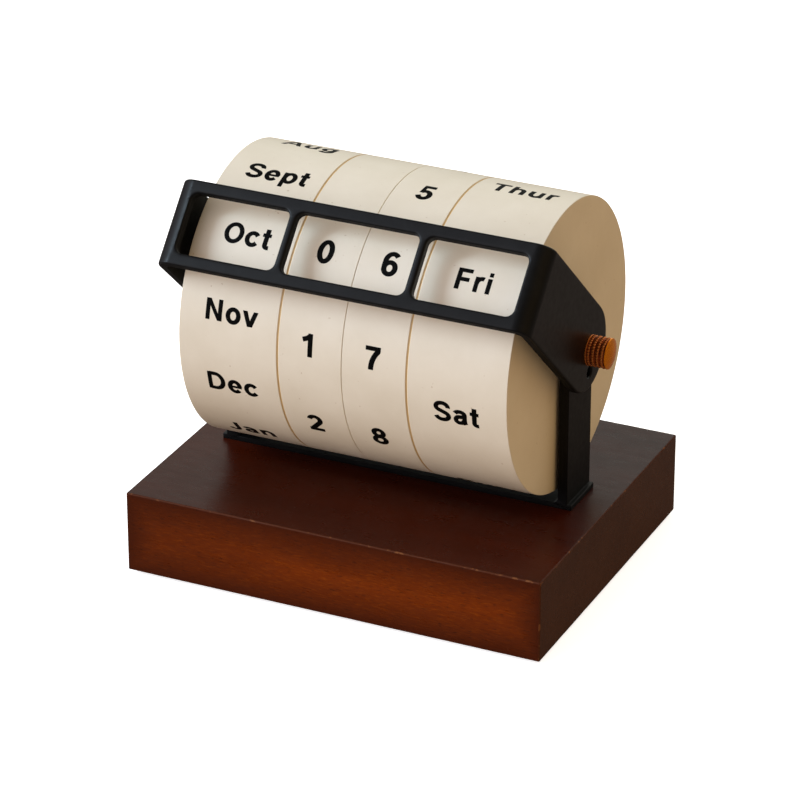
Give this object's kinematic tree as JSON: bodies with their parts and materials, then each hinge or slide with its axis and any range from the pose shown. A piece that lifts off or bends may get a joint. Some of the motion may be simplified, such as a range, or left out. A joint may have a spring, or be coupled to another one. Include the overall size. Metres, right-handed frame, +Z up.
{
  "type": "perpetual desk calendar",
  "caption": "Perpetual desk calendar: lettered drums side by side on one axle, read through a tilted window frame over a solid wooden block.",
  "frame": {"origin": "middle of the underside of the felt, on the surface that the calendar stands on", "axes": "+X along the axle to the reader's right, from the month drum to the weekday drum; -Y towards the reader; +Z up"},
  "size_m": [0.1204, 0.0944, 0.1089],
  "materials": {
    "stained_wood": "semi-gloss stain and lacquer on straight-grained hardwood",
    "black_felt": "pressed felt",
    "black_steel": "satin black powder coat",
    "zinc_steel": "bright zinc plate",
    "cream_drum": "satin cream lacquer on a turned wooden drum",
    "white_nylon": "plain turned nylon",
    "gold_brass": "knurled and lacquered brass",
    "black_print": "matt black screen print on the drums"
  },
  "bodies": {
    "stand": {"base_block": "stained_wood", "base_felt": "black_felt", "stand_bracket": "black_steel", "bracket_screws": "zinc_steel", "window_frame": "black_steel", "locating_pin_left": "zinc_steel", "locating_pin_right": "zinc_steel", "axle": "zinc_steel", "spacer_month_tens": "white_nylon", "spacer_tens_units": "white_nylon", "spacer_units_weekday": "white_nylon", "thrust_washer_left": "zinc_steel", "thrust_washer_right": "zinc_steel"},
    "month_wheel": {"month_drum": "cream_drum", "month_bush": "white_nylon"},
    "tens_wheel": {"tens_drum": "cream_drum", "tens_bush": "white_nylon"},
    "units_wheel": {"units_drum": "cream_drum", "units_bush": "white_nylon"},
    "weekday_wheel": {"weekday_drum": "cream_drum", "weekday_bush": "white_nylon"},
    "left_washer": {"nut_washer_left": "gold_brass"},
    "left_nut": {"thumb_nut_left": "gold_brass"},
    "right_washer": {"nut_washer_right": "gold_brass"},
    "right_nut": {"thumb_nut_right": "gold_brass"}
  },
  "joints": [
    {"name": "month_turn", "type": "hinge", "parent": "stand", "child": "month_wheel", "pos_m": [-0.03275, 0.00075, 0.0684], "axis": [1, 0, 0], "continuous": true},
    {"name": "tens_turn", "type": "hinge", "parent": "stand", "child": "tens_wheel", "pos_m": [-0.00925, 0.00075, 0.0684], "axis": [1, 0, 0], "continuous": true},
    {"name": "units_turn", "type": "hinge", "parent": "stand", "child": "units_wheel", "pos_m": [0.00925, 0.00075, 0.0684], "axis": [1, 0, 0], "continuous": true},
    {"name": "weekday_turn", "type": "hinge", "parent": "stand", "child": "weekday_wheel", "pos_m": [0.03275, 0.00075, 0.0684], "axis": [1, 0, 0], "continuous": true},
    {"name": "left_washer_slide", "type": "slide", "parent": "stand", "child": "left_washer", "axis": [-1, 0, 0], "range_m": [0, 0.0035]},
    {"name": "left_nut_turn", "type": "hinge", "parent": "left_washer", "child": "left_nut", "pos_m": [-0.0534, 0.00075, 0.0684], "axis": [-1, 0, 0], "range_deg": [0, 1800]},
    {"name": "right_washer_slide", "type": "slide", "parent": "stand", "child": "right_washer", "axis": [1, 0, 0], "range_m": [0, 0.0035]},
    {"name": "right_nut_turn", "type": "hinge", "parent": "right_washer", "child": "right_nut", "pos_m": [0.0534, 0.00075, 0.0684], "axis": [1, 0, 0], "range_deg": [0, 1800]}
  ],
  "couplings": [
    {"joint": "left_washer_slide", "follows": "left_nut_turn", "m_per_rad": 0.00011141},
    {"joint": "right_washer_slide", "follows": "right_nut_turn", "m_per_rad": 0.00011141}
  ]
}
